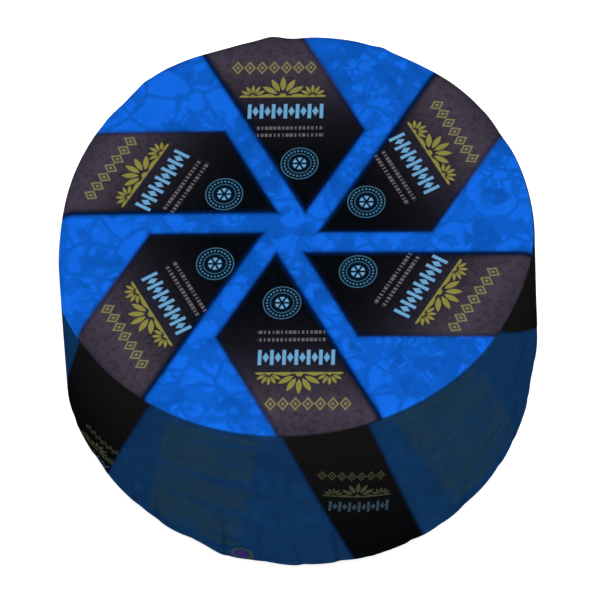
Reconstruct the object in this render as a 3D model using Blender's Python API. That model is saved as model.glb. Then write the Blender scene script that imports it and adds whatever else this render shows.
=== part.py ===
"""Wheel of blue cheese shut in printed foil: one closed solid with a rounded rim and a gathered foot."""

import math

import bpy
import bmesh

# Driving dimensions, in metres.
TOP_RADIUS = 0.0975
FOOT_RADIUS = 0.0985
HEIGHT = 0.1047
RIM_ROUND = 0.005
FOOT_ROUND = 0.0146
CROWN = 0.0006

# Out-of-round shape of the pressed wheel: waves round the axis, size in metres, phase in degrees.
TOP_WAVES = {2: (0.00039, -157.4), 3: (0.00101, -34.7), 4: (0.00065, -164.4)}
FOOT_WAVES = {1: (0.00136, -161.5), 2: (0.00114, 156.8), 3: (0.00115, 155.2), 4: (0.00040, 147.0)}

# Folds of the gathered foil round the foot.
FOLD_COUNT = 24
FOLD_DEPTH = 0.0007
FOLD_REACH = 0.030

# Facets.
SEGMENTS = 144
RIM_STEPS = 5
FOOT_STEPS = 7
WALL_LEVELS = (0.80, 0.60, 0.42, 0.30, 0.21)
TOP_RINGS = (0.22, 0.5, 0.78)
BASE_RINGS = (0.92, 0.6, 0.25)

FOIL_COLOUR = (0.016, 0.075, 0.32, 1.0)


def clear_scene() -> None:
    """Remove whatever objects the opened file holds."""
    for item in list(bpy.data.objects):
        bpy.data.objects.remove(item, do_unlink=True)


def waves(table: dict, angle: float) -> float:
    """Sum of the waves of a table at an angle round the axis.

    Args:
        table: wave number to its size in metres and phase in degrees.
        angle: angle round the axis in radians.

    Returns:
        The distance added to the radius, in metres.
    """
    return sum(size * math.cos(n * angle - math.radians(phase)) for n, (size, phase) in table.items())


def outline(angle: float, height: float) -> float:
    """Radius of the straight wall, before its two rounded edges.

    Args:
        angle: angle round the axis in radians.
        height: height above the base in metres.

    Returns:
        The wall's radius in metres.
    """
    share = min(max(height / HEIGHT, 0.0), 1.0)
    top = TOP_RADIUS + waves(TOP_WAVES, angle)
    foot = FOOT_RADIUS + waves(FOOT_WAVES, angle)
    return foot + (top - foot) * share


def fold(angle: float, height: float) -> float:
    """Depth of the gathered folds, strongest at the foot's rounded edge.

    Args:
        angle: angle round the axis in radians.
        height: height above the base in metres.

    Returns:
        The distance taken off the radius, in metres.
    """
    fade = max(0.0, 1.0 - height / FOLD_REACH)
    drift = 0.35 * math.sin(2.0 * angle + 0.6) + 0.2 * math.sin(5.0 * angle)
    ridge = abs(math.cos(0.5 * FOLD_COUNT * angle + drift))
    return FOLD_DEPTH * fade * (1.0 - ridge)


def profile() -> list:
    """Rings of the wheel from the top to the base.

    Returns:
        A list of (inset from the wall, height, share of the radius) for each ring.
    """
    rings = []
    for share in TOP_RINGS:
        rings.append((RIM_ROUND, HEIGHT + CROWN * (1.0 - share * share), share))
    for step in range(RIM_STEPS + 1):
        turn = math.radians(90.0 - 90.0 * step / RIM_STEPS)
        rings.append((RIM_ROUND * (1.0 - math.cos(turn)), HEIGHT - RIM_ROUND * (1.0 - math.sin(turn)), 1.0))
    for level in WALL_LEVELS:
        rings.append((0.0, HEIGHT * level, 1.0))
    for step in range(FOOT_STEPS + 1):
        turn = math.radians(90.0 * step / FOOT_STEPS)
        rings.append((FOOT_ROUND * (1.0 - math.cos(turn)), FOOT_ROUND * (1.0 - math.sin(turn)), 1.0))
    for share in BASE_RINGS:
        rings.append((FOOT_ROUND, 0.0, share))
    return rings


def build_wheel() -> bpy.types.Object:
    """Make the foil-wrapped wheel as one closed mesh.

    Returns:
        The new object.
    """
    mesh = bmesh.new()
    top_pole = mesh.verts.new((0.0, 0.0, HEIGHT + CROWN))
    rows = []
    for inset, height, share in profile():
        row = []
        for index in range(SEGMENTS):
            angle = 2.0 * math.pi * index / SEGMENTS
            radius = (outline(angle, height) - inset) * share
            if share == 1.0 and height > 0.0:
                radius -= fold(angle, height)
            row.append(mesh.verts.new((radius * math.cos(angle), radius * math.sin(angle), height)))
        rows.append(row)
    base_pole = mesh.verts.new((0.0, 0.0, 0.0))
    for index in range(SEGMENTS):
        after = (index + 1) % SEGMENTS
        mesh.faces.new((top_pole, rows[0][index], rows[0][after]))
        for upper, lower in zip(rows, rows[1:]):
            mesh.faces.new((upper[index], lower[index], lower[after], upper[after]))
        mesh.faces.new((base_pole, rows[-1][after], rows[-1][index]))
    for face in mesh.faces:
        face.smooth = True
    bmesh.ops.recalc_face_normals(mesh, faces=mesh.faces)
    data = bpy.data.meshes.new("wrapped_wheel")
    mesh.to_mesh(data)
    mesh.free()
    item = bpy.data.objects.new("wrapped_wheel", data)
    bpy.context.scene.collection.objects.link(item)
    return item


def foil_material() -> bpy.types.Material:
    """Plain stand-in for the printed foil.

    Returns:
        The new material.
    """
    material = bpy.data.materials.new("printed_foil")
    material.use_nodes = True
    shader = material.node_tree.nodes["Principled BSDF"]
    shader.inputs["Base Color"].default_value = FOIL_COLOUR
    shader.inputs["Roughness"].default_value = 0.5
    shader.inputs["Metallic"].default_value = 0.0
    return material


clear_scene()
wheel = build_wheel()
wheel.data.materials.append(foil_material())
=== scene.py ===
"""Looks of a whole blue cheese wheel shut in printed foil.

The wheel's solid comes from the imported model. Here it is replaced by three pieces of foil that follow
the same shape: the top with the rim turned over, the wall with its gathered folds, and the pleated
underside. Lengths of the foil are in metres, and lengths of the print are in millimetres.
"""

from __future__ import annotations

import logging
import math
from collections.abc import Callable
from dataclasses import dataclass, field
from enum import Enum
from functools import reduce
from typing import Any

import bpy
import numpy as np
from mathutils import Matrix, Vector

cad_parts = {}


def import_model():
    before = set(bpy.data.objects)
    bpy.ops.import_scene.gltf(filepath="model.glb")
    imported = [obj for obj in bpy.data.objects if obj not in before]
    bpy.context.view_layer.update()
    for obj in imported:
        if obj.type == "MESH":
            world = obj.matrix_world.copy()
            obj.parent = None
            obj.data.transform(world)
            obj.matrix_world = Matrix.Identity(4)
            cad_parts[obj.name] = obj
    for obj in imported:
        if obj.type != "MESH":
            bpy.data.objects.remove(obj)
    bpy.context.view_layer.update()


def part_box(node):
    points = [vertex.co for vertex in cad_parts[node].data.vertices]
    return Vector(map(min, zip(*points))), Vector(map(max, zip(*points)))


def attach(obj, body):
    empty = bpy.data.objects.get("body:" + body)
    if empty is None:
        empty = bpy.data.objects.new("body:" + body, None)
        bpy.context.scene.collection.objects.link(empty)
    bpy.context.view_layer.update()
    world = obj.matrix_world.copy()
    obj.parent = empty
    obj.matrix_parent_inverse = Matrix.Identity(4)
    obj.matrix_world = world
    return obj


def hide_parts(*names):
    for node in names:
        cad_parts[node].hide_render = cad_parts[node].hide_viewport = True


log = logging.getLogger("wrapped_wheel")

MM = 0.001
NODE = "wrapped_wheel"
BODY = "root"
TURN = 2.0 * math.pi
QUARTER = 0.5 * math.pi
SECTOR = math.radians(60.0)
SIN_60 = math.sin(SECTOR)
COS_60 = math.cos(SECTOR)

Colour = tuple[float, float, float, float]


def srgb(red: int, green: int, blue: int) -> Colour:
    """Turn an 8-bit screen colour into Blender's linear one, with full alpha."""
    parts = [value / 255.0 for value in (red, green, blue)]
    return (*(part / 12.92 if part <= 0.04045 else ((part + 0.055) / 1.055) ** 2.4 for part in parts), 1.0)


def ease(value: np.ndarray, low: float, high: float) -> np.ndarray:
    """Rise smoothly from 0 to 1 as a value goes from low to high."""
    share = np.clip((value - low) / (high - low), 0.0, 1.0)
    return share * share * (3.0 - 2.0 * share)


def around(angle: np.ndarray) -> np.ndarray:
    """Bring angles into the half-open turn from -180 to 180 degrees, in radians."""
    return (angle + math.pi) % TURN - math.pi


@dataclass(frozen=True)
class Wave:
    """One wave of the wheel's out-of-round outline, with its phase in degrees."""

    number: int
    size: float
    phase: float

    def at(self, azimuth: np.ndarray) -> np.ndarray:
        """Distance that the wave adds to the radius at each azimuth."""
        return self.size * np.cos(self.number * azimuth - math.radians(self.phase))


@dataclass(frozen=True)
class Bulge:
    """One local bulge of the outline, or a dent where its size is negative. Its angles are in degrees."""

    azimuth: float
    size: float
    spread: float

    def at(self, azimuth: np.ndarray) -> np.ndarray:
        """Distance that the bulge adds to the radius at each azimuth."""
        away = around(azimuth - math.radians(self.azimuth)) / math.radians(self.spread)
        return self.size * np.exp(-away * away)


@dataclass(frozen=True)
class WheelShape:
    """The pressed wheel under its foil, as a profile that runs from the top's middle to the base's."""

    top_radius: float = 0.0975
    foot_radius: float = 0.0985
    height: float = 0.1047
    rim_round: float = 0.005
    foot_round: float = 0.0146
    crown: float = 0.0006
    slack: float = 0.0004
    top_waves: tuple[Wave, ...] = (
        Wave(2, 0.00039, -157.4),
        Wave(3, 0.00101, -34.7),
        Wave(4, 0.00065, -164.4),
    )
    foot_waves: tuple[Wave, ...] = (
        Wave(1, 0.00136, -161.5),
        Wave(2, 0.00114, 156.8),
        Wave(3, 0.00115, 155.2),
        Wave(4, 0.00040, 147.0),
    )
    top_bulges: tuple[Bulge, ...] = (
        Bulge(31.0, -0.0006, 4.0),
        Bulge(61.0, -0.0004, 7.0),
        Bulge(70.0, 0.0007, 1.8),
        Bulge(78.0, 0.0005, 7.0),
        Bulge(92.0, -0.0008, 3.0),
        Bulge(97.5, 0.0009, 2.5),
        Bulge(109.0, -0.0010, 7.0),
        Bulge(126.0, 0.0009, 7.0),
        Bulge(130.5, 0.0005, 2.0),
        Bulge(138.0, -0.0005, 3.5),
        Bulge(178.0, -0.0005, 10.0),
    )
    foot_bulges: tuple[Bulge, ...] = (
        Bulge(192.5, 0.0020, 10.5),
        Bulge(224.0, -0.0004, 9.0),
        Bulge(244.0, -0.0007, 3.5),
        Bulge(252.5, 0.0015, 4.5),
        Bulge(268.0, 0.0006, 6.0),
        Bulge(285.0, 0.0005, 3.5),
        Bulge(301.0, 0.0004, 5.0),
        Bulge(338.0, -0.0004, 5.0),
        Bulge(352.0, -0.0015, 9.5),
    )

    @property
    def rim_start(self) -> float:
        """Run at which the flat top turns into the rim."""
        return self.top_radius - self.rim_round

    @property
    def wall_start(self) -> float:
        """Run at which the rim turns into the wall."""
        return self.rim_start + QUARTER * self.rim_round

    @property
    def foot_start(self) -> float:
        """Run at which the wall turns into the foot."""
        return self.wall_start + self.height - self.rim_round - self.foot_round

    @property
    def base_start(self) -> float:
        """Run at which the foot turns into the flat base."""
        return self.foot_start + QUARTER * self.foot_round

    @property
    def end(self) -> float:
        """Run at the base's middle."""
        return self.base_start + self.foot_radius - self.foot_round

    def outline(self, azimuth: np.ndarray, height: np.ndarray) -> np.ndarray:
        """Radius of the wall at a height, before its rounded edges.

        Args:
            azimuth: angles round the axis in radians.
            height: heights above the base.

        Returns:
            The radius at each place.
        """
        share = np.clip(height / self.height, 0.0, 1.0)
        top = self.top_radius + sum(part.at(azimuth) for part in self.top_waves + self.top_bulges)
        foot = self.foot_radius + sum(part.at(azimuth) for part in self.foot_waves + self.foot_bulges)
        return foot + (top - foot) * share + self.slack * (1.0 - share)

    def points(self, azimuth: np.ndarray, run: np.ndarray) -> np.ndarray:
        """Places on the smooth wheel.

        Args:
            azimuth: angles round the axis in radians.
            run: distances along the profile from the top's middle.

        Returns:
            An array of places with x, y and z last.
        """
        on_top = np.clip(run / self.rim_start, 0.0, 1.0)
        rim = np.clip((run - self.rim_start) / self.rim_round, 0.0, QUARTER)
        foot = np.clip((run - self.foot_start) / self.foot_round, 0.0, QUARTER)
        on_base = np.clip((self.end - run) / (self.end - self.base_start), 0.0, 1.0)
        down = np.clip(run - self.wall_start, 0.0, self.foot_start - self.wall_start)
        height = self.height - self.rim_round * (1.0 - np.cos(rim)) - down
        height = np.where(run > self.foot_start, self.foot_round * (1.0 - np.sin(foot)), height)
        inset = self.rim_round * (1.0 - np.sin(rim)) + self.foot_round * (1.0 - np.cos(foot))
        radius = (self.outline(azimuth, height) - inset) * on_top * on_base
        height = height + self.crown * (1.0 - on_top * on_top) * (run < self.rim_start)
        return np.stack([radius * np.cos(azimuth), radius * np.sin(azimuth), height], axis=-1)


@dataclass(frozen=True)
class Fold:
    """One fold of the gathered wall: a steep side and a long gentle one."""

    azimuth: float
    reach: float
    depth: float
    width: float
    lean: float


@dataclass(frozen=True)
class Crease:
    """One straight faint crease across the top."""

    east: float
    north: float
    heading: float
    length: float
    depth: float


@dataclass(frozen=True)
class Pleats:
    """Flat pleats that gather the foil under the wheel, and turn a little as they run to the middle.

    They start past the foot's start, are full past the base's start, and fade out round the middle.
    """

    count: int = 46
    depth: float = 0.0011
    turn: float = 0.35
    edge: float = 0.12
    start: float = 0.006
    full: float = 0.004
    fade: tuple[float, float] = (0.004, 0.022)

    def saw(self, azimuth: np.ndarray, share: np.ndarray) -> np.ndarray:
        """Number of the pleat plus the share of its width, at shares of the way out from the middle."""
        twist = self.turn * (1.0 - share) + 0.12 * np.sin(3.0 * azimuth) + 0.07 * np.sin(7.0 * azimuth + 1.0)
        return (azimuth + twist) * self.count / TURN


@dataclass
class FoilFolds:
    """How far the foil lies inside the smooth wheel at a grid of azimuths and runs, in metres."""

    shape: WheelShape
    azimuth: np.ndarray
    run: np.ndarray
    pleats: Pleats = Pleats()
    seed: int = 11
    fold_count: int = 40
    crease_count: int = 16
    fold_depth: float = 0.0008
    line_width: float = 0.0011
    fold_fade: float = 0.008
    fold_steepness: float = 5.0
    fold_tail: float = 1.3
    crease_depth: float = 0.00016
    crease_width: float = 0.0014
    dent_depth: float = 0.00016
    dent_run: float = 0.003
    dent_spread: float = 0.006
    sag: float = 0.00012
    sag_fade: float = 0.01
    sag_drift: float = 35.0
    folds: list[Fold] = field(default_factory=list)
    creases: list[Crease] = field(default_factory=list)

    def __post_init__(self) -> None:
        """Draw the folds and creases once, from the fixed seed."""
        draw = np.random.default_rng(self.seed)
        for index in range(self.fold_count):
            azimuth = TURN * (index + draw.uniform(-0.35, 0.35)) / self.fold_count
            reach = draw.uniform(0.012, 0.05) if draw.uniform() < 0.75 else draw.uniform(0.05, 0.09)
            depth = self.fold_depth * draw.uniform(0.35, 1.0)
            width = draw.uniform(0.0025, 0.006) * (1.0 if draw.uniform() < 0.5 else -1.0)
            self.folds.append(Fold(azimuth, reach, depth, width, draw.uniform(-0.9, 0.9)))
        for _ in range(self.crease_count):
            angle = draw.uniform(0.0, TURN)
            distance = self.shape.top_radius * math.sqrt(draw.uniform(0.05, 0.85))
            east, north = distance * math.cos(angle), distance * math.sin(angle)
            length = draw.uniform(0.02, 0.06)
            heading = draw.uniform(0.0, math.pi)
            depth = self.crease_depth * draw.uniform(0.5, 1.0)
            self.creases.append(Crease(east, north, heading, length, depth))

    def wall(self) -> tuple[np.ndarray, np.ndarray]:
        """Lay the wall's folds, which grow towards the foot.

        Returns:
            Their depth, and the strength from 0 to 1 of the painted shade along their steep sides.
        """
        up = self.shape.foot_start + 0.5 * self.shape.foot_round - self.run
        fade = 1.0 - ease(self.run, self.shape.base_start, self.shape.base_start + self.fold_fade)
        depth = np.zeros_like(self.run)
        lines = np.zeros_like(self.run)
        for fold in self.folds:
            strength = fade * (1.0 - ease(up, 0.0, fold.reach))
            arc = around(self.azimuth - fold.azimuth - fold.lean * up) * self.shape.foot_radius
            side = arc / fold.width
            steep = 1.0 / (1.0 + np.exp(np.clip(-side * self.fold_steepness, -40.0, 40.0)))
            depth += fold.depth * strength * steep * np.exp(-np.maximum(side, 0.0) / self.fold_tail)
            # Painted shade along the fold's steep side.
            line = fold.depth / self.fold_depth * strength * np.exp(-((arc / self.line_width) ** 2))
            lines = np.maximum(lines, line)
        return depth, lines

    def undulation(self) -> np.ndarray:
        """Lay broad shallow waves round the wall and small dents round the rim.

        Returns:
            Their depth.
        """
        draw = np.random.default_rng(self.seed + 1)
        on_wall = ease(self.run, self.shape.rim_start, self.shape.wall_start + self.sag_fade)
        on_wall = on_wall * (1.0 - ease(self.run, self.shape.foot_start, self.shape.base_start))
        waves = np.zeros_like(self.run)
        for number in (7, 9, 12, 16, 21, 27):
            drift = draw.uniform(-self.sag_drift, self.sag_drift)
            waves += np.cos(number * self.azimuth + drift * self.run + draw.uniform(0.0, TURN)) / number
        near_rim = np.exp(-(((self.run - self.shape.rim_start - self.dent_run) / self.dent_spread) ** 2))
        numbers = (17, 24, 31, 43, 58)
        dents = sum(np.cos(number * self.azimuth + draw.uniform(0.0, TURN)) for number in numbers)
        dents = np.maximum(dents / len(numbers), 0.0) ** 1.5
        return self.sag * on_wall * (0.5 + 1.5 * waves) + self.dent_depth * near_rim * dents

    def top(self) -> np.ndarray:
        """Lay faint straight creases across the top.

        Returns:
            Their depth.
        """
        total = np.zeros_like(self.run)
        for crease in self.creases:
            east = self.run * np.cos(self.azimuth) - crease.east
            north = self.run * np.sin(self.azimuth) - crease.north
            ahead = east * math.cos(crease.heading) + north * math.sin(crease.heading)
            aside = north * math.cos(crease.heading) - east * math.sin(crease.heading)
            along = 1.0 - ease(np.abs(ahead), 0.25 * crease.length, 0.5 * crease.length)
            total += crease.depth * along / (1.0 + (aside / self.crease_width) ** 2)
        return total * (self.run < self.shape.wall_start)

    def base(self) -> np.ndarray:
        """Lay the pleats under the wheel.

        Returns:
            Their depth.
        """
        inwards = np.clip(self.shape.end - self.run, 0.0, None)
        share = inwards / (self.shape.end - self.shape.base_start)
        saw = self.pleats.saw(self.azimuth, share) % 1.0
        edge = ease(saw, 0.0, self.pleats.edge) * (1.0 - 0.75 * saw)
        uneven = 0.65 + 0.35 * np.sin(11.0 * self.azimuth + 2.0)
        start, full = self.shape.foot_start + self.pleats.start, self.shape.base_start + self.pleats.full
        strength = ease(self.run, start, full) * ease(inwards, *self.pleats.fade)
        return self.pleats.depth * strength * uneven * edge


@dataclass(frozen=True)
class Strip:
    """A slanting strip of the wall between two edges.

    Azimuths are in degrees where the rim starts, and slants in degrees for each millimetre further down.
    A dark band's ornament has its depth, its shift and its tilt.
    """

    start: float
    stop: float
    start_slant: float
    stop_slant: float
    ornament: tuple[float, float, float] = (0.0, 0.0, 0.0)

    def edges(self, depth: np.ndarray) -> tuple[np.ndarray, np.ndarray]:
        """Azimuths of both edges in radians, at depths in millimetres."""
        edges = (self.start + self.start_slant * depth, self.stop + self.stop_slant * depth)
        return np.radians(edges[0]), np.radians(edges[1])


@dataclass(frozen=True)
class WallPlaces:
    """Corners of the wall's mesh, and the middles of their faces, which settle their strip."""

    azimuth: np.ndarray
    depth: np.ndarray
    radius: np.ndarray
    face_azimuth: np.ndarray
    face_depth: np.ndarray

    def nearest(self, strips: tuple[Strip, ...]) -> tuple[np.ndarray, np.ndarray, np.ndarray]:
        """Find the strip nearest to each face.

        Args:
            strips: the strips to choose from.

        Returns:
            The distance from the strip's middle, the distance inside its nearer edge, both in
            millimetres, and the strip's number.
        """
        start, stop = np.array([strip.edges(self.face_depth) for strip in strips]).swapaxes(0, 1)
        away = np.abs(around(self.face_azimuth - 0.5 * (start + stop))) - 0.5 * (stop - start)
        number = np.argmin(away, axis=0)
        edges = np.array([strip.edges(self.depth) for strip in strips])
        start, stop = edges[number, :, np.arange(len(number))].T
        across = around(self.azimuth - 0.5 * (start + stop)) * self.radius
        return across, 0.5 * (stop - start) * self.radius - np.abs(across), number


@dataclass(frozen=True)
class PrintPlan:
    """Where the print lies on the wheel, in millimetres and degrees."""

    middle: tuple[float, float] = (-1.1, -0.35)
    bands: tuple[Strip, ...] = (
        Strip(29.6, 54.2, 0.21, 0.17, (44.0, 0.0, 0.3)),
        Strip(89.6, 114.2, 0.08, 0.05, (52.0, 1.0, 0.1)),
        Strip(152.6, 177.8, -0.14, -0.15, (62.0, 4.0, -0.3)),
        Strip(211.8, 236.6, -0.235, -0.221, (82.5, 12.0, -0.5)),
        Strip(268.9, 289.5, 0.141, 0.106, (48.0, 0.0, 0.41)),
        Strip(329.6, 354.4, 0.40, 0.36, (66.0, 3.0, 0.4)),
    )
    texts: tuple[Strip, ...] = (
        Strip(58.5, 82.0, 0.14, 0.14),
        Strip(118.5, 142.0, 0.0, -0.02),
        Strip(178.5, 201.5, -0.16, -0.18),
        Strip(241.4, 265.0, -0.115, -0.10),
        Strip(295.2, 321.0, 0.155, 0.16),
        Strip(359.5, 382.0, 0.28, 0.24),
    )

    def panel_frame(self, places: np.ndarray, middles: np.ndarray) -> np.ndarray:
        """Turn places on the top into the frame of their face's panel.

        Args:
            places: x and y of each corner in metres.
            middles: x and y of its face's middle.

        Returns:
            x and y in the panel's frame, in millimetres.
        """
        east, north = (middles / MM - self.middle).T
        turn = -(np.floor(np.arctan2(north, east) / SECTOR) - 1.0) * SECTOR
        east, north = (places / MM - self.middle).T
        ahead = east * np.cos(turn) - north * np.sin(turn)
        aside = east * np.sin(turn) + north * np.cos(turn)
        return np.stack([ahead, aside], axis=-1)


class Part(Enum):
    """The three pieces of foil."""

    TOP = "foil_top"
    WALL = "foil_wall"
    UNDERSIDE = "foil_underside"


@dataclass
class FoilWrap:
    """The foil round the wheel, cut where the bright print ends and the wall's painted shade begins, and
    where the base begins.
    """

    shape: WheelShape
    plan: PrintPlan
    columns: int = 600
    top_rows: int = 84
    wall_rows: int = 104
    base_rows: int = 56
    # Painted shade on the wall starts at these angles round the rim's rounding, higher at the front than
    # behind.
    front_seam_angle: float = 38.0
    back_seam_angle: float = 66.0
    back_azimuth: float = 97.8
    back_edges: tuple[float, float] = (-0.55, -0.1)
    top_spacing: float = 0.85
    wall_spacing: float = 0.05
    bake_margin: float = 0.01
    # Painted light: where these bulges bring the seam down, the wall keeps the top's bright colours as if
    # lit, and its painted shade starts lower.
    seam_bulges: tuple[Bulge, ...] = (
        Bulge(160.0, 0.018, 26.0),
        Bulge(185.0, 0.0205, 16.0),
        Bulge(219.0, 0.0008, 9.0),
        Bulge(281.0, 0.0010, 24.0),
    )

    def __post_init__(self) -> None:
        """Work out the grid of places and normals."""
        self.azimuth = TURN * np.arange(self.columns + 1) / self.columns
        self.seam = self.seam_runs()
        self.run = self.runs()
        places = self.shape.points(self.azimuth[None, :], self.run)
        self.folds = FoilFolds(self.shape, np.broadcast_to(self.azimuth, self.run.shape), self.run)
        depth, self.fold_painted_shade = self.folds.wall()
        depth = depth + self.folds.undulation() + self.folds.top() + self.folds.base()
        self.places = places - self.normals(places) * depth[..., None]
        self.places[..., 2] = np.maximum(self.places[..., 2], 0.0)
        self.normal = self.normals(self.places)

    def seam_runs(self) -> np.ndarray:
        """Place the seam between the bright top and the wall in painted shade.

        Returns:
            Its run at each azimuth.
        """
        behind = ease(np.cos(self.azimuth - math.radians(self.back_azimuth)), *self.back_edges)
        angle = self.front_seam_angle + (self.back_seam_angle - self.front_seam_angle) * behind
        rim = self.shape.rim_start + np.radians(angle) * self.shape.rim_round
        return rim + sum(part.at(self.azimuth) for part in self.seam_bulges)

    def runs(self) -> np.ndarray:
        """Space the rows of the grid, with close ones round the rim and the foot.

        Returns:
            Run of each row at each azimuth.
        """
        last = self.shape.base_start
        counts = (self.top_rows, self.wall_rows, self.base_rows)
        top, share, base = (np.linspace(0.0, 1.0, count + 1)[1:, None] for count in counts)
        share = share + self.wall_spacing * np.sin(TURN * share) / math.pi
        wall = self.seam + (last - self.seam) * share
        base = last + (self.shape.end - last) * base[:-1] * np.ones_like(self.seam)
        return np.concatenate([top ** self.top_spacing * self.seam, wall, base])

    def normals(self, places: np.ndarray) -> np.ndarray:
        """Outward normals of a grid of places, one turn round in its columns.

        Args:
            places: the grid, with its last column the same as its first.

        Returns:
            A unit normal for each place.
        """
        down = np.gradient(places, axis=0)
        ring = places[:, :-1]
        across = np.roll(ring, -1, axis=1) - np.roll(ring, 1, axis=1)
        across = np.concatenate([across, across[:, :1]], axis=1)
        normal = np.cross(down, across)
        return normal / np.linalg.norm(normal, axis=-1, keepdims=True)

    def rows_of(self, part: Part) -> tuple[int, int]:
        """First and last row of a piece; neighbours share the row between them."""
        edges = (0, self.top_rows - 1, self.top_rows - 1 + self.wall_rows, len(self.run) - 1)
        return edges[list(Part).index(part)], edges[list(Part).index(part) + 1]

    def build(self, part: Part) -> bpy.types.Object:
        """Make one piece of foil.

        Args:
            part: which piece.

        Returns:
            The new object, with its print coordinates and its bake map.
        """
        first, last = self.rows_of(part)
        ring = self.columns
        vertices = self.places[first:last + 1, :-1].reshape(-1, 3)
        normals = self.normal[first:last + 1, :-1].reshape(-1, 3)
        row, column = np.meshgrid(np.arange(last - first), np.arange(ring), indexing="ij")
        rows = np.stack([row, row + 1, row + 1, row], axis=-1).ravel()
        columns = np.stack([column, column, column + 1, column + 1], axis=-1).ravel()
        faces = (rows * ring + columns % ring).reshape(-1, 4).tolist()
        corners = np.column_stack([rows + first, columns])
        if part is not Part.WALL:
            on_top = part is Part.TOP
            pole = self.shape.height + self.shape.crown if on_top else 0.0
            edge, steps = (0, (0, 1)) if on_top else (last - first, (1, 0))
            middle = len(vertices)
            vertices = np.concatenate([vertices, [[0.0, 0.0, pole]]])
            normals = np.concatenate([normals, [[0.0, 0.0, 1.0 if on_top else -1.0]]])
            for index in range(ring):
                faces.append([middle, *(edge * ring + (index + step) % ring for step in steps)])
            fan = np.tile([[-1.0, 0.5], *([first + edge, step] for step in steps)], (ring, 1))
            fan[:, 1] += np.repeat(np.arange(ring), 3)
            corners = np.concatenate([corners, fan])
        mesh = bpy.data.meshes.new(part.value)
        mesh.from_pydata(vertices.tolist(), [], faces)
        mesh.polygons.foreach_set("use_smooth", np.ones(len(faces), dtype=bool))
        mesh.normals_split_custom_set_from_vertices(normals.tolist())
        self.lay_print(mesh, part, corners)
        mesh.validate()
        item = bpy.data.objects.new(part.value, mesh)
        bpy.context.scene.collection.objects.link(item)
        return item

    def lay_print(self, mesh: bpy.types.Mesh, part: Part, corners: np.ndarray) -> None:
        """Store the print's coordinates and the bake map on a piece's corners.

        Args:
            mesh: the piece's mesh.
            part: which piece it is.
            corners: row and column of each face corner. The middle point has row -1, and columns half-way.
        """
        sizes = np.array([face.loop_total for face in mesh.polygons])
        face_of = np.repeat(np.arange(len(sizes)), sizes)
        row, column = np.maximum(corners, 0.0).astype(int).T
        off_pole = corners[:, 0] >= 0.0
        azimuth = TURN * corners[:, 1] / self.columns
        run = np.where(off_pole, self.run[row, column], 0.0 if part is Part.TOP else self.shape.end)
        place = self.places[row, column, :2] * off_pole[:, None]
        depth = (run - self.shape.rim_start) / MM
        last = (self.shape.base_start - self.shape.rim_start) / MM
        middles = [(np.bincount(face_of, each) / sizes)[face_of] for each in (azimuth, depth, *place.T)]
        face_azimuth, face_depth = middles[:2]
        inner = 1.0 - 2.0 * self.bake_margin
        spread = 0.5 + 0.5 * inner * place / self.shape.foot_radius
        if part is Part.TOP:
            panel = self.plan.panel_frame(place, np.column_stack(middles[2:]))
            self.store(mesh, "print_at", panel, (self.seam[column] - run) / MM)
        else:
            depths = (np.minimum(depth, last), np.minimum(face_depth, last))
            places = WallPlaces(azimuth, depths[0], np.hypot(*place.T) / MM, face_azimuth, depths[1])
            across, inside, number = places.nearest(self.plan.bands)
            down, shift, tilt = np.array([band.ornament for band in self.plan.bands])[number].T
            share = np.clip((self.shape.end - run) / (self.shape.end - self.shape.base_start), 0.0, 1.0)
            saw = self.folds.pleats.saw(azimuth, share)
            # The first number is the painted shade along the wall's folds.
            self.store(mesh, "print_at", self.fold_painted_shade[row, column], depth, inside)
            self.store(mesh, "art_at", across - shift, depth - down - tilt * (across - shift), saw)
            self.store(mesh, "text_at", *places.nearest(self.plan.texts))
        if part is Part.WALL:
            half = np.floor(face_azimuth / math.pi)
            along = self.bake_margin + inner * (azimuth / math.pi - half)
            down = self.bake_margin + inner * (run - run.min()) / (run.max() - run.min())
            spread = np.column_stack([along, 0.5 * (down + half)])
        layer = mesh.uv_layers.new(name="OFBake")
        layer.uv.foreach_set("vector", spread.astype(np.float32).ravel())

    @staticmethod
    def store(mesh: bpy.types.Mesh, name: str, *values: np.ndarray) -> None:
        """Store three numbers on each face corner of a mesh, as an attribute."""
        attribute = mesh.attributes.new(name, "FLOAT_VECTOR", "CORNER")
        attribute.data.foreach_set("vector", np.column_stack(values).astype(np.float32).ravel())


def operator(operation: str, reflected: bool = False) -> Callable[[Value, Value | float], Value]:
    """Make the method behind one of Python's operators, which adds a Math node.

    Args:
        operation: the node's operation.
        reflected: whether the other term comes first.

    Returns:
        The method.
    """

    def method(value: Value, other: Value | float) -> Value:
        """Work out the operation on both terms."""
        return value.graph.math(operation, *((other, value) if reflected else (value, other)))

    return method


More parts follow.
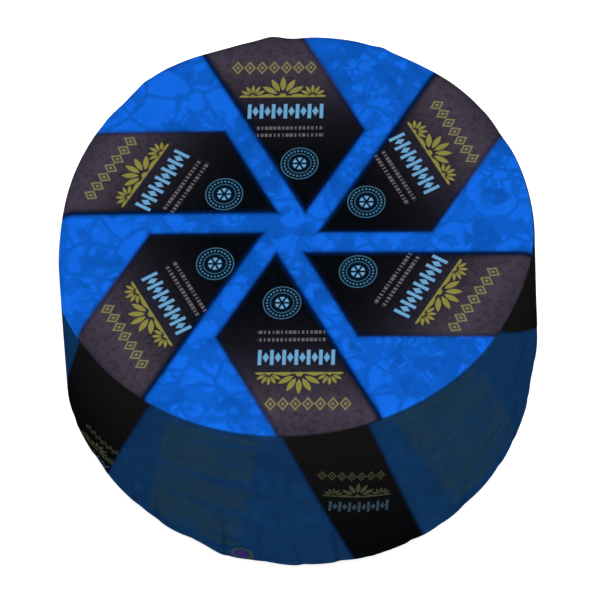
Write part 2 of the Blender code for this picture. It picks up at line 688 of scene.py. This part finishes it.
@dataclass(frozen=True)
class Value:
    """A socket that Python's operators and these methods extend with nodes, with sizes in millimetres."""

    graph: Graph
    socket: bpy.types.NodeSocket

    __add__ = operator("ADD")
    __radd__ = operator("ADD", reflected=True)
    __sub__ = operator("SUBTRACT")
    __rsub__ = operator("SUBTRACT", reflected=True)
    __mul__ = operator("MULTIPLY")
    __rmul__ = operator("MULTIPLY", reflected=True)
    __truediv__ = operator("DIVIDE")
    __pow__ = operator("POWER")

    def __neg__(self) -> Value:
        """The value with its sign turned."""
        return self * -1.0

    def __abs__(self) -> Value:
        """The value without its sign."""
        return self.math("ABSOLUTE")

    def math(self, operation: str, *others: Value | float) -> Value:
        """Send the value through a Math node, with any other terms after it."""
        return self.graph.math(operation, self, *others)

    def floor(self) -> Value:
        """The whole number below."""
        return self.math("FLOOR")

    def repeat(self, pitch: float) -> Value:
        """Fold the value into one pitch, centred on zero."""
        return (self + 0.5 * pitch).math("FLOORED_MODULO", pitch) - 0.5 * pitch

    def ease(self, start: float, stop: float, first: float = 0.0, last: float = 1.0) -> Value:
        """Go smoothly from the first number to the last, as the value goes from start to stop."""
        inputs = {"Value": self, "From Min": start, "From Max": stop, "To Min": first, "To Max": last}
        return self.graph.value("ShaderNodeMapRange", {"interpolation_type": "SMOOTHSTEP"}, inputs)

    def inside(self, soft: float = 0.2) -> Value:
        """Cover what lies at a negative distance, with an edge that is soft on both sides."""
        return self.ease(-soft, soft, 1.0, 0.0)

    def mix(self, low: Value | Colour, high: Value | Colour) -> Value:
        """Mix two colours, with the value as the share of the second."""
        sockets = {0: self, self.graph.MIX_LOW: low, self.graph.MIX_HIGH: high}
        return self.graph.value("ShaderNodeMix", {"data_type": "RGBA"}, sockets, self.graph.MIX_RESULT)

    def ramp(self, stops: list[tuple[float, Colour]]) -> Value:
        """Colour of the value on a ramp."""
        return self.graph.value("ShaderNodeValToRGB", {"stops": stops}, {0: self}, "Color")

    def split(self) -> tuple[Value, ...]:
        """The vector's three numbers."""
        parts = self.graph.node("ShaderNodeSeparateXYZ", {}, {0: self})
        return tuple(Value(self.graph, part) for part in parts.outputs)

    def join(self, north: Value | float, up: Value | float) -> Value:
        """A vector that starts with the value."""
        return self.graph.value("ShaderNodeCombineXYZ", {}, {0: self, 1: north, 2: up})

    def scaled(self, factor: float) -> Value:
        """The vector times a number."""
        return self.graph.value("ShaderNodeVectorMath", {"operation": "SCALE"}, {0: self, "Scale": factor})

    def moved(self, drift: Value) -> Value:
        """The vector plus another."""
        return self.graph.value("ShaderNodeVectorMath", {"operation": "ADD"}, {0: self, 1: drift})

    def chance(self, second: Value | float, third: Value | float) -> Value:
        """A fixed random number for the value and two more whole numbers."""
        return self.graph.value("ShaderNodeTexWhiteNoise", {}, {"Vector": self.join(second, third)})

    def cell_edges(self, size: float) -> Value:
        """Distance from the place to the nearest edge of irregular cells, as a share of their size."""
        inputs = {"Vector": self, "Scale": 1.0 / size}
        return self.graph.value("ShaderNodeTexVoronoi", {"feature": "DISTANCE_TO_EDGE"}, inputs)

    def noise(self, size: float, detail: float, rough: float = 0.5, output: int | str = 0) -> Value:
        """Cloudy noise round 0.5 at the place, with lumps of a size and finer layers."""
        inputs = {"Vector": self, "Scale": 1.0 / size, "Detail": detail, "Roughness": rough}
        return self.graph.value("ShaderNodeTexNoise", {}, inputs, output)

    def warped(self, size: float, reach: float) -> Value:
        """Move the place about by cloudy noise of a size, up to a reach."""
        return self.moved(self.noise(size, 3.0, output="Color").scaled(reach))


def smallest(*values: Value) -> Value:
    """Smallest of several values."""
    return reduce(lambda first, second: first.math("MINIMUM", second), values)


def largest(*values: Value) -> Value:
    """Largest of several values."""
    return reduce(lambda first, second: first.math("MAXIMUM", second), values)


class Graph:
    """The nodes of one material or world."""

    MIX_LOW = 6
    MIX_HIGH = 7
    MIX_RESULT = 2

    def __init__(self, tree: bpy.types.NodeTree) -> None:
        """Start with an empty tree."""
        self.tree = tree
        tree.nodes.clear()

    def node(self, kind: str, settings: dict[str, Any], inputs: dict[int | str, Any]) -> bpy.types.Node:
        """Add any node.

        Args:
            kind: the node's type.
            settings: its own settings; "stops" holds a ramp's (position, colour) pairs.
            inputs: a value or a link for each input, by name or number.

        Returns:
            The new node.
        """
        made = self.tree.nodes.new(kind)
        for name, setting in settings.items():
            if name == "stops":
                self.set_stops(made, setting)
            else:
                setattr(made, name, setting)
        for key, given in inputs.items():
            if isinstance(given, Value):
                self.tree.links.new(given.socket, made.inputs[key])
            else:
                made.inputs[key].default_value = given
        return made

    @staticmethod
    def set_stops(ramp: bpy.types.Node, stops: list[tuple[float, Colour]]) -> None:
        """Give a colour ramp its stops.

        Args:
            ramp: the ramp node.
            stops: position and colour of each stop, from left to right.
        """
        elements = ramp.color_ramp.elements
        while len(elements) < len(stops):
            elements.new(1.0)
        for element, (position, colour) in zip(elements, stops):
            element.position = position
            element.color = colour

    def value(
        self, kind: str, settings: dict[str, Any], inputs: dict[int | str, Any], output: int | str = 0
    ) -> Value:
        """Add a node and take one of its outputs."""
        return Value(self, self.node(kind, settings, inputs).outputs[output])

    def math(self, operation: str, *terms: Value | float) -> Value:
        """Add a Math node."""
        return self.value("ShaderNodeMath", {"operation": operation}, dict(enumerate(terms)))

    def stored(self, name: str) -> Value:
        """Three numbers that the mesh stores on its corners."""
        return self.value("ShaderNodeAttribute", {"attribute_name": name}, {}, "Vector")

    def place(self) -> Value:
        """Place on the object in millimetres."""
        return self.value("ShaderNodeTexCoord", {}, {}, "Object").scaled(1.0 / MM)


def new_material(name: str) -> tuple[bpy.types.Material, Graph]:
    """Make an empty node material.

    Args:
        name: its name.

    Returns:
        The material and its nodes.
    """
    material = bpy.data.materials.new(name)
    material.use_nodes = True
    return material, Graph(material.node_tree)


@dataclass(frozen=True)
class Inks:
    """Colours of the print, as they show on the wheel; the wall's colours are the top's inks darkened with
    painted shade.
    """

    bright: Colour = srgb(17, 98, 214)
    deep: Colour = srgb(10, 76, 166)
    edge_navy: Colour = srgb(3, 22, 58)
    gold: Colour = srgb(127, 122, 60)
    old_gold: Colour = srgb(118, 112, 76)
    sky: Colour = srgb(98, 151, 191)
    grey: Colour = srgb(108, 102, 108)
    line: Colour = srgb(66, 112, 142)
    badge_fill: Colour = srgb(4, 18, 32)
    speck: Colour = srgb(16, 14, 22)
    # Painted shade: the wall's blue, and its gold text on its ground, darkened as if in shade.
    painted_shade_navy: Colour = srgb(13, 44, 79)
    painted_shade_deep_navy: Colour = srgb(11, 38, 69)
    painted_shade_text_ground: Colour = srgb(21, 42, 56)
    text: Colour = srgb(38, 54, 44)
    # Painted shade: the panels, their gold and their sky blue as they run down the wall, darkened as if in
    # shade; deep black also deepens painted shade and the panels' edges.
    painted_shade_black: Colour = srgb(15, 15, 16)
    deep_black: Colour = srgb(5, 6, 7)
    painted_shade_gold: Colour = srgb(57, 58, 41)
    painted_shade_sky: Colour = srgb(44, 61, 73)
    violet: Colour = srgb(46, 30, 86)


@dataclass(frozen=True)
class Artwork:
    """Plain ornament of a panel: a chain, fans of petals, a row of bars, dashes and a badge.

    East and north say where the material is in the panel's frame, and every part has its middle there.
    """

    east: Value
    north: Value
    chain: tuple[float, float] = (-9.5, 80.6)
    fans: tuple[float, float] = (-5.6, 66.4)
    bars: tuple[float, float] = (-4.2, 59.0)
    dashes: tuple[float, float] = (-2.3, 49.0)
    badge: tuple[float, float] = (2.4, 33.4)
    fan_places: tuple[float, ...] = (0.0, 12.2)
    fan_sizes: tuple[float, ...] = (9.6, 5.6)

    def seen_from(self, middle: tuple[float, float]) -> tuple[Value, Value]:
        """Place aside from a part's middle and above it."""
        return self.east - middle[0], self.north - middle[1]

    def lozenge_chain(self) -> Value:
        """Draw a chain of open lozenges with a small solid one in each.

        Returns:
            1 on its ink.
        """
        pitch, links = 5.0, 7
        side, up = self.seen_from(self.chain)
        shape = abs(side.repeat(pitch)) / 2.5 + abs(up) / 3.3
        frame = abs(shape - 0.8) * 2.0 - 0.34
        core = (shape - 0.3) * 2.0
        ends = abs(side) - 0.5 * pitch * links
        return largest(smallest(frame, core), ends).inside()

    def petal_fans(self) -> Value:
        """Draw a tall fan of petals between two low ones, on a thin line.

        Returns:
            1 on their ink.
        """
        petal_turn = math.radians(30.0)
        side, up = self.seen_from(self.fans)
        nearest = largest(abs(up + 0.1) - 0.32, abs(side) - 17.2)
        for place, size in zip(self.fan_places, self.fan_sizes):
            aside = abs(side) - place
            radius = (aside * aside + up * up).math("SQRT")
            lens = 1.0 - ((radius / size - 0.64) / 0.36) ** 2.0
            petal = abs(aside.math("ARCTAN2", up).repeat(petal_turn)) * radius - 0.12 * size * lens
            nearest = smallest(nearest, petal, radius - 0.16 * size)
        return largest(nearest, -up - 0.5).inside()

    def bar_row(self) -> Value:
        """Draw a row of upright bars with lozenges between them.

        Returns:
            1 on its ink.
        """
        pitch, bars, half_bar = 4.9, 7, 0.72
        side, up = self.seen_from(self.bars)
        within = abs(side.repeat(pitch))
        bar = largest(within - half_bar, abs(up) - 3.5)
        lozenge = (0.5 * pitch - within) / 1.3 + abs(up) / 2.3 - 1.0
        ends = abs(side) - 0.5 * pitch * (bars - 1) - 0.8
        return largest(smallest(bar, lozenge), ends).inside()

    def dash_rows(self) -> Value:
        """Draw two rows of short dashes.

        Returns:
            1 on their ink.
        """
        spacing, half_width, cell_width = 3.5, 14.0, 1.7
        side, up = self.seen_from(self.dashes)
        chance = (side / cell_width).floor().chance((up / spacing).floor(), 3.0)
        within = abs((side - 0.5 * cell_width).repeat(cell_width)) - 0.25 - 0.45 * chance
        line = abs((up - 0.5 * spacing).repeat(spacing)) - 0.75
        return largest(within, line, abs(side) - half_width, abs(up) - spacing).inside()

    def badge_parts(self) -> tuple[Value, Value, Value]:
        """Draw a round badge: two rings with a ring of dots between them, and a wheel in six wedges.

        Returns:
            1 on its field, on its rings and on its wheel.
        """
        dots, dots_radius = 26, 6.1
        side, up = self.seen_from(self.badge)
        radius = (side * side + up * up).math("SQRT")
        angle = up.math("ARCTAN2", side)
        dot_side = angle.repeat(TURN / dots) * dots_radius
        dot = (dot_side * dot_side + (radius - dots_radius) ** 2.0).math("SQRT") - 0.42
        rings = smallest(abs(radius - 7.5) - 0.16, abs(radius - 4.7) - 0.12, dot)
        cut = 0.45 - abs(angle.repeat(SECTOR).math("SINE") * radius)
        return (radius - 7.7).inside(), rings.inside(), largest(radius - 2.8, cut).inside()


@dataclass(frozen=True)
class FoilFinish:
    """Satin surface of the printed foil, which doesn't glow where it is seen edge-on."""

    specular: float = 0.0
    roughness: float = 0.46
    crinkle: float = 0.06
    crinkle_size: float = 2.2
    ridge_size: float = 7.0

    def surface(self, colour: Value, place: Value, gloss: Value | float = 0.0) -> None:
        """Close a material with the foil's shader.

        Args:
            colour: the print.
            place: place on the object.
            gloss: where metallic ink makes the foil shinier.
        """
        ridge = 1.0 - place.cell_edges(self.ridge_size).ease(0.0, 0.12)
        crinkles = self.crinkle * (place.noise(self.crinkle_size, 3.0) + 0.25 * ridge)
        height = {"Strength": 1.0, "Distance": MM, "Height": crinkles}
        graph = place.graph
        inputs = {
            "Base Color": colour,
            "Roughness": self.roughness + 0.12 * (place.noise(9.0, 3.0) - 0.5) - 0.1 * gloss,
            "Specular IOR Level": self.specular,
            "Normal": graph.value("ShaderNodeBump", {}, height, "Normal"),
        }
        shader = graph.value("ShaderNodeBsdfPrincipled", {}, inputs)
        graph.node("ShaderNodeOutputMaterial", {}, {"Surface": shader})


@dataclass(frozen=True)
class Network:
    """Dark soft lines between irregular cells, with sizes in millimetres."""

    cell: float
    width: float
    warp_size: float
    warp: float

    def lines(self, place: Value) -> Value:
        """Share of the dark ink, 1 on the lines."""
        edges = place.warped(self.warp_size, self.warp).cell_edges(self.cell) * self.cell
        return edges.ease(0.275 * self.width, 0.725 * self.width, 1.0, 0.0)


@dataclass(frozen=True)
class Marbling:
    """Mottled pattern of the foil: smooth fields between veins, leathery parts and dark patches."""

    veins: Network = Network(15.0, 1.7, 9.0, 6.0)
    leather: Network = Network(5.6, 1.3, 3.5, 4.0)
    blobs: Network = Network(9.5, 3.8, 7.0, 5.5)

    def dark(self, place: Value) -> Value:
        """Share of the darker ink.

        Args:
            place: place on the object.

        Returns:
            0 on the bright fields and 1 in the dark.
        """
        leathery = place.noise(24.0, 1.0).ease(0.46, 0.57)
        clotted = place.warped(30.0, 20.0).noise(20.0, 1.0).ease(0.48, 0.6)
        patches = place.warped(5.0, 6.0).noise(10.0, 1.5).ease(0.55, 0.59)
        patches = patches * (0.55 + 0.45 * largest(clotted, leathery))
        veins = 0.7 * self.veins.lines(place)
        leather = 0.7 * self.leather.lines(place) * leathery
        blobs = 0.95 * self.blobs.lines(place) * clotted
        cloud = place.noise(6.0, 1.0).ease(0.4, 0.65)
        return 0.88 * largest(veins, leather, blobs, patches) + 0.12 * cloud


@dataclass(frozen=True)
class FoilPrint:
    """What the prints of the top and the wall share, with half the softness of their edges."""

    inks: Inks = Inks()
    finish: FoilFinish = FoilFinish()
    marbling: Marbling = Marbling()
    edge_soft: float = 0.85

    def layered(self, colour: Value, *layers: tuple[Value, Colour]) -> Value:
        """Lay inks over a colour in order, each on its share."""
        return reduce(lambda under, layer: layer[0].mix(under, layer[1]), layers, colour)


@dataclass(frozen=True)
class TopPrint(FoilPrint):
    """Marbled blue top with its pinwheel of dark panels, between long edges at a gap from the middle."""

    panel_gap: float = 9.5
    panel_width: float = 39.95
    edge_shift: float = 0.1
    grain_size: float = 2.2
    grain_strength: float = 0.42
    ground: tuple[tuple[float, Colour], ...] = (
        (0.30, srgb(4, 7, 10)),
        (0.40, srgb(9, 10, 14)),
        (0.52, srgb(18, 18, 24)),
        (0.64, srgb(34, 32, 42)),
        (0.76, srgb(57, 51, 61)),
        (0.84, srgb(64, 57, 70)),
        (0.95, srgb(54, 49, 61)),
    )

    def sides(self, east: Value, north: Value) -> tuple[Value, Value, Value]:
        """Distances inside the left, the right and the short edge of the panel, negative outside."""
        left = east * SIN_60 + north * COS_60 - self.panel_gap
        return left, self.panel_width - left, north * COS_60 - east * SIN_60

    def edge_tints(self, blue: Value, dark: Value, inside: Value, by_left: Value) -> tuple[Value, Value]:
        """Shade the panels' edges with navy on both sides, and their left edges most.

        Args:
            blue: colour between the panels.
            dark: colour of the panels.
            inside: distance inside the panel.
            by_left: 1 where the left edge is the nearest.

        Returns:
            Both colours with their tints.
        """
        dimmed = (inside.ease(0.5, 4.0, 0.7, 0.0) * by_left).mix(dark, self.inks.deep_black)
        shade = inside.ease(0.5, 2.4, 1.0, 0.0) * (0.5 + 0.5 * by_left)
        blue = inside.ease(-2.4, 1.0, 0.0, 0.45).mix(blue, self.inks.edge_navy)
        return blue, shade.mix(dimmed, self.inks.edge_navy)

    def seam_painted_shade(self, colour: Value, on_panel: Value, before: Value) -> Value:
        """Paint shade over the rim by dimming the print, and let it run softly into the wall's print in
        painted shade at the seam.

        Args:
            colour: colour of the top.
            on_panel: 1 on the panels.
            before: distance before the seam.

        Returns:
            The colour with its tints.
        """
        # Painted shade: the wall's navy and black below the seam, and a painted shade over the rim just
        # before it.
        below = on_panel.mix(self.inks.painted_shade_navy, self.inks.painted_shade_black)
        shade = before.ease(5.0, 1.5, 0.0, 0.1) * (0.3 + on_panel)
        return before.ease(1.1, -0.1).mix(shade.mix(colour, self.inks.deep_black), below)

    def ornament(self, colour: Value, art: Artwork) -> tuple[Value, Value]:
        """Print the ornament on the panels.

        Args:
            colour: the panels' dark ground.
            art: the ornament.

        Returns:
            The panels' colour, and 1 on their metallic inks.
        """
        fans, chain = art.petal_fans(), art.lozenge_chain()
        badge_field, rings, wheel = art.badge_parts()
        colour = self.layered(
            colour,
            (fans, self.inks.gold),
            (chain, self.inks.old_gold),
            (art.bar_row(), self.inks.sky),
            (0.75 * art.dash_rows(), self.inks.grey),
            (0.85 * badge_field, self.inks.badge_fill),
            (rings, self.inks.line),
            (wheel, self.inks.sky),
        )
        return colour, largest(fans, chain)

    def material(self) -> bpy.types.Material:
        """Build the material.

        Returns:
            The new material.
        """
        material, graph = new_material("foil_top_print")
        place = graph.place()
        east, north, before = graph.stored("print_at").split()
        left, right, short = self.sides(east, north)
        turned = self.sides(COS_60 * east + SIN_60 * north, COS_60 * north - SIN_60 * east)
        inside = largest(smallest(left, right, short), smallest(*turned))
        by_left = (smallest(right, short) - left).ease(0.0, 1.0)
        blue = self.marbling.dark(place).mix(self.inks.bright, self.inks.deep)
        grain = self.grain_strength * place.noise(self.grain_size, 3.0, 0.7).ease(0.4, 0.7)
        ground = grain.mix((north / 100.0).ramp(self.ground), self.inks.speck)
        blue, ground = self.edge_tints(blue, ground, inside, by_left)
        dark, metallic = self.ornament(ground, Artwork(east, north))
        on_panel = inside.ease(-self.edge_soft - self.edge_shift, self.edge_soft - self.edge_shift)
        colour = self.seam_painted_shade(on_panel.mix(blue, dark), on_panel, before)
        self.finish.surface(colour, place, on_panel * metallic)
        return material


@dataclass(frozen=True)
class RoundMark:
    """One plain round mark low on the wall: its azimuth in degrees, and its sizes in millimetres."""

    azimuth: float = -103.7
    up: float = 14.3
    radius: float = 4.6
    line: float = 1.1

    def parts(self, place: Value) -> tuple[Value, Value]:
        """Draw a ring with a lozenge in it.

        Args:
            place: place on the object.

        Returns:
            1 on the ring and 1 on the lozenge.
        """
        x, y, z = place.split()
        angle = math.radians(self.azimuth)
        out = math.cos(angle) * x + math.sin(angle) * y
        side = math.cos(angle) * y - math.sin(angle) * x
        up = z - self.up
        radius = (side * side + up * up).math("SQRT")
        ring = abs(radius - (self.radius - 0.5 * self.line)) - 0.5 * self.line
        lozenge = (abs(side) + abs(up)) * 0.7 - 0.45 * self.radius
        return largest(ring, -out).inside(), largest(lozenge, -out).inside()


@dataclass(frozen=True)
class WallPrintInPaintedShade(FoilPrint):
    """Navy wall in painted shade: the top's inks darkened as if in shade, with the panels' bands running
    down it, fine print between them, a round mark, and painted shade along the folds and in the pleats.
    """

    pleats: Pleats = Pleats()
    mark: RoundMark = RoundMark()
    art_across: float = 0.72
    art_down: float = 1.12
    art_lean: float = 0.3
    art_middle: tuple[float, float] = (-6.1, 69.8)
    art_strength: float = 0.8
    # Strengths of the painted shade along the folds and in the pleats' creases.
    fold_shade: float = 0.45
    crease_shade: float = 0.6
    text_pitch: float = 1.95
    text_start: float = 4.4
    text_stop: float = 88.0
    text_strength: float = 0.55
    dash_width: float = 0.9
    dash_strength: float = 0.35
    gather_start: float = 100.0
    gather_stop: float = 116.0

    def fine_print(self, place: Value, depth: Value) -> tuple[Value, Value]:
        """Set rows of tiny dashes that stand for the pack's small print.

        Args:
            place: place on the object.
            depth: depth below the rim.

        Returns:
            1 on the blocks and 1 on their dashes.
        """
        across, inside, block = place.graph.stored("text_at").split()
        row = (depth / self.text_pitch).floor()
        dashes = (across / self.dash_width).floor().chance(row, block).ease(0.2, 0.3)
        printed = row.chance(block, 7.0).ease(0.13, 0.14, 0.25, 1.0)
        last = (row + 1.0).chance(block, 7.0).ease(0.13, 0.14, 1.0, 0.0)
        faint = place.noise(16.0, 1.0).ease(0.38, 0.5, 0.5, 1.0)
        ragged = row.chance(block, 5.0) * (3.0 + 22.0 * last) * across.ease(-12.0, 0.0)
        edge = largest(ragged - inside, self.text_start - depth, depth - self.text_stop)
        block = printed * faint * edge.inside(0.5)
        return block, block * dashes * (abs(depth.repeat(self.text_pitch)) - 0.55).inside(0.3)

    def gathers(self, saw: Value, depth: Value) -> tuple[Value, Value]:
        """Break the print at the pleats under the wheel, and paint shade in their creases.

        Args:
            saw: the pleat's number, plus the share of its width.
            depth: depth below the rim.

        Returns:
            How far each pleat shifts the print, from -0.5 to 0.5, and the strength of the painted shade in
            the pleats' creases.
        """
        number = saw.floor()
        gathered = depth.ease(self.gather_start, self.gather_stop)
        shift = (number.repeat(self.pleats.count).chance(1.0, 2.0) - 0.5) * gathered
        return shift, (saw - number).ease(0.0, self.pleats.edge, 1.0, 0.0) * gathered

    def material(self) -> bpy.types.Material:
        """Build the material.

        Returns:
            The new material.
        """
        material, graph = new_material("foil_wall_print_painted_shade")
        place = graph.place()
        fold, depth, inside = graph.stored("print_at").split()
        across, down, saw = graph.stored("art_at").split()
        shift, crease = self.gathers(saw, depth)
        inside = inside + 9.0 * shift
        dark = self.marbling.dark(place.moved((60.0 * shift).join(0.0, 40.0 * shift)))
        block, dashes = self.fine_print(place, depth)
        ring, lozenge = self.mark.parts(place)
        art_east = self.art_middle[0] + (across + self.art_lean * down) / self.art_across
        art = Artwork(art_east, self.art_middle[1] - down / self.art_down)
        gold = largest(art.petal_fans(), art.lozenge_chain())
        # Painted shade: the navy ground, the text and the round mark are dark copies of the top's inks.
        painted_shade_navy = self.layered(
            dark.mix(self.inks.painted_shade_navy, self.inks.painted_shade_deep_navy),
            (self.text_strength * block, self.inks.painted_shade_text_ground),
            (self.dash_strength * dashes, self.inks.text),
            (inside.ease(-2.0, 0.4, 0.0, 0.6), self.inks.edge_navy),
            (self.art_strength * ring, self.inks.painted_shade_gold),
            (lozenge, self.inks.violet),
        )
        # Painted shade: the panels' colour on the wall, darker towards the bottom, with their ornament in
        # darkened inks.
        band = self.layered(
            depth.ease(0.0, 95.0).mix(self.inks.painted_shade_black, self.inks.deep_black),
            (self.art_strength * gold, self.inks.painted_shade_gold),
            (self.art_strength * art.bar_row(), self.inks.painted_shade_sky),
        )
        colour = inside.ease(-self.edge_soft, self.edge_soft).mix(painted_shade_navy, band)
        # Painted shade along the wall's folds and in the pleats' creases.
        shade = largest(self.crease_shade * crease, self.fold_shade * fold)
        self.finish.surface(shade.mix(colour, self.inks.deep_black), place)
        return material


@dataclass(frozen=True)
class Studio:
    """Plain pale floor, soft light and the photograph's camera."""

    floor_size: float = 30.0
    floor_drop: float = 0.0003
    azimuth: float = 7.77
    elevation: float = 57.59
    roll: float = -6.94
    distance: float = 2.925
    lens: float = 428.4
    image_width: float = 600.0
    middle_pixel: tuple[float, float] = (302.04, 301.25)

    def floor(self) -> bpy.types.Object:
        """Make the floor.

        Returns:
            The new object.
        """
        half = 0.5 * self.floor_size
        corners = [(-half, -half, 0.0), (half, -half, 0.0), (half, half, 0.0), (-half, half, 0.0)]
        mesh = bpy.data.meshes.new("studio_floor")
        mesh.from_pydata(corners, [], [(0, 1, 2, 3)])
        item = bpy.data.objects.new("studio_floor", mesh)
        item.location.z = -self.floor_drop
        material, graph = new_material("studio_floor")
        white = (0.88, 0.88, 0.88, 1.0)
        inputs = {"Base Color": white, "Roughness": 0.9, "Specular IOR Level": 0.0}
        inputs.update({"Emission Color": white, "Emission Strength": 0.7})
        shader = graph.value("ShaderNodeBsdfPrincipled", {}, inputs)
        graph.node("ShaderNodeOutputMaterial", {}, {"Surface": shader})
        mesh.materials.append(material)
        bpy.context.scene.collection.objects.link(item)
        return item

    def light(self, name: str, place: Vector, size: float, power: float) -> None:
        """Hang one square soft light that faces the wheel.

        Args:
            name: the light's name.
            place: its place.
            size: its side in metres.
            power: its power in watts.
        """
        data = bpy.data.lights.new(name, "AREA")
        data.shape = "SQUARE"
        data.size = size
        data.energy = power
        item = bpy.data.objects.new(name, data)
        item.location = place
        item.rotation_euler = (Vector((0.0, 0.0, 0.05)) - place).to_track_quat("-Z", "Y").to_euler()
        bpy.context.scene.collection.objects.link(item)

    def world(self) -> None:
        """Light the surroundings: pale round the horizon and dimmer overhead."""
        world = bpy.data.worlds.new("studio")
        world.use_nodes = True
        graph = Graph(world.node_tree)
        up = graph.value("ShaderNodeTexCoord", {}, {}, "Generated").split()[2]
        colour = up.ease(0.1, 0.5).mix((0.9, 0.9, 0.9, 1.0), (0.3, 0.3, 0.3, 1.0))
        background = graph.value("ShaderNodeBackground", {}, {"Color": colour, "Strength": 1.0})
        graph.node("ShaderNodeOutputWorld", {}, {"Surface": background})
        bpy.context.scene.world = world

    def camera(self, middle: Vector) -> None:
        """Set up the camera as the photograph was taken.

        Args:
            middle: the wheel's middle.
        """
        azimuth, elevation = math.radians(self.azimuth), math.radians(self.elevation)
        level = math.cos(elevation)
        back = Vector((math.sin(azimuth) * level, -math.cos(azimuth) * level, math.sin(elevation)))
        data = bpy.data.cameras.new("camera")
        data.lens = self.lens
        data.sensor_width = 36.0
        data.shift_x = (0.5 * self.image_width - self.middle_pixel[0]) / self.image_width
        data.shift_y = (self.middle_pixel[1] - 0.5 * self.image_width) / self.image_width
        data.clip_end = 100.0
        item = bpy.data.objects.new("camera", data)
        look = (-back).to_track_quat("-Z", "Y").to_matrix().to_4x4()
        turn = Matrix.Rotation(math.radians(self.roll), 4, "Z")
        item.matrix_world = Matrix.Translation(middle + back * self.distance) @ look @ turn
        bpy.context.scene.collection.objects.link(item)
        bpy.context.scene.camera = item

    def build(self, middle: Vector) -> None:
        """Set up the whole studio.

        Args:
            middle: the wheel's middle.
        """
        self.floor()
        self.world()
        self.light("overhead", Vector((0.3, -0.9, 2.3)), 2.2, 57.0)
        self.light("fill_left", Vector((-2.2, -0.4, 1.0)), 1.4, 8.0)
        self.light("fill_right", Vector((2.2, 0.6, 1.0)), 1.4, 8.0)
        self.camera(middle)
        bpy.context.scene.view_settings.view_transform = "Standard"


@dataclass
class WrappedWheel:
    """The whole object: three pieces of foil and their print."""

    shape: WheelShape = WheelShape()
    plan: PrintPlan = PrintPlan()
    top: TopPrint = TopPrint()
    wall: WallPrintInPaintedShade = WallPrintInPaintedShade()

    def build(self) -> None:
        """Make, dress and report every piece."""
        wrap = FoilWrap(self.shape, self.plan)
        wall = self.wall.material()
        dress = {Part.TOP: self.top.material(), Part.WALL: wall, Part.UNDERSIDE: wall}
        for part, material in dress.items():
            piece = wrap.build(part)
            piece.data.materials.append(material)
            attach(piece, BODY)
            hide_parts(NODE)
            log.info("%s: %d faces", piece.name, len(piece.data.polygons))


def main() -> None:
    """Load the frame, build the wheel, and build its studio round the middle of the frame's box."""
    logging.basicConfig(level=logging.INFO, format="%(name)s: %(message)s")
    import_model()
    low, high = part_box(NODE)
    WrappedWheel().build()
    Studio().build(Vector((0.0, 0.0, 0.5 * (low.z + high.z))))


if __name__ == "__main__":
    main()
